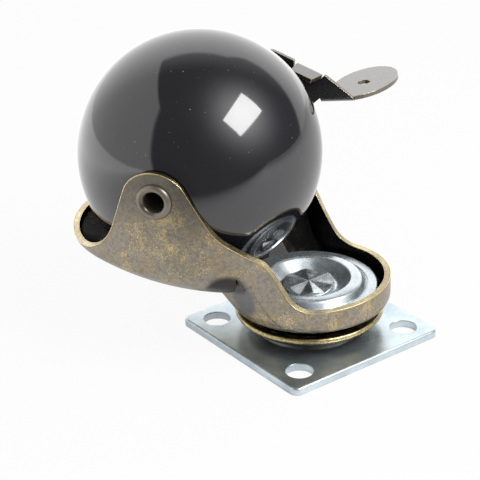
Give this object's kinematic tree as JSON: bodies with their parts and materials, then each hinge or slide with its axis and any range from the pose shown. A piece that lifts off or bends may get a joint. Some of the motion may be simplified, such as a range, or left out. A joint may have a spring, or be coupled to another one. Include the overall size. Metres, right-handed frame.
{
  "type": "ball castor",
  "caption": "Ball castor with a hooded swivel fork, a thumb brake lever and a square fixing plate with a screw hole in each corner.",
  "frame": {"origin": "centre of the fixing plate's mounting face, where the swivel axis meets it", "axes": "+Z along the swivel axis from the mounting face towards the ball, +X and +Y along the plate's sides"},
  "size_m": [0.065, 0.0789, 0.063],
  "materials": {
    "zinc_steel": "bright zinc plating",
    "bronze_plated_steel": "antique bronze plating, worn at the edges",
    "bearing_steel": "polished",
    "dark_steel": "satin",
    "black_resin": "high gloss"
  },
  "bodies": {
    "base": {"mounting_plate": "zinc_steel", "race_pan": "bronze_plated_steel", "kingpin": "zinc_steel", "bearing_disc": "zinc_steel"},
    "fork": {"hood": "bronze_plated_steel", "axle_rivet": "dark_steel", "brake_pivot": "dark_steel", "brake_washer": "dark_steel"},
    "ball": {"ball_wheel": "black_resin"},
    "brake": {"brake_lever": "bronze_plated_steel"},
    "lower_row": {"lower_ball_row": "bearing_steel"},
    "upper_row": {"upper_ball_row": "bearing_steel"}
  },
  "joints": [
    {"name": "swivel", "type": "hinge", "parent": "base", "child": "fork", "pos_m": [0, 0, 0.008], "axis": [0, 0, 1], "continuous": true},
    {"name": "ball_roll", "type": "hinge", "parent": "fork", "child": "ball", "pos_m": [0.01924, 0.01278, 0.038], "axis": [-0.5534, 0.8329, 0], "continuous": true},
    {"name": "brake_press", "type": "hinge", "parent": "fork", "child": "brake", "pos_m": [0.0278, -0.01275, 0.032], "axis": [-0.5534, 0.8329, 0], "range_deg": [0, 11]},
    {"name": "lower_row_turn", "type": "hinge", "parent": "base", "child": "lower_row", "pos_m": [0, 0, 0.0063], "axis": [0, 0, 1], "continuous": true},
    {"name": "upper_row_turn", "type": "hinge", "parent": "base", "child": "upper_row", "pos_m": [0, 0, 0.0106], "axis": [0, 0, 1], "continuous": true}
  ],
  "couplings": [
    {"joint": "lower_row_turn", "follows": "swivel", "ratio": 0.5},
    {"joint": "upper_row_turn", "follows": "swivel", "ratio": 0.5}
  ]
}
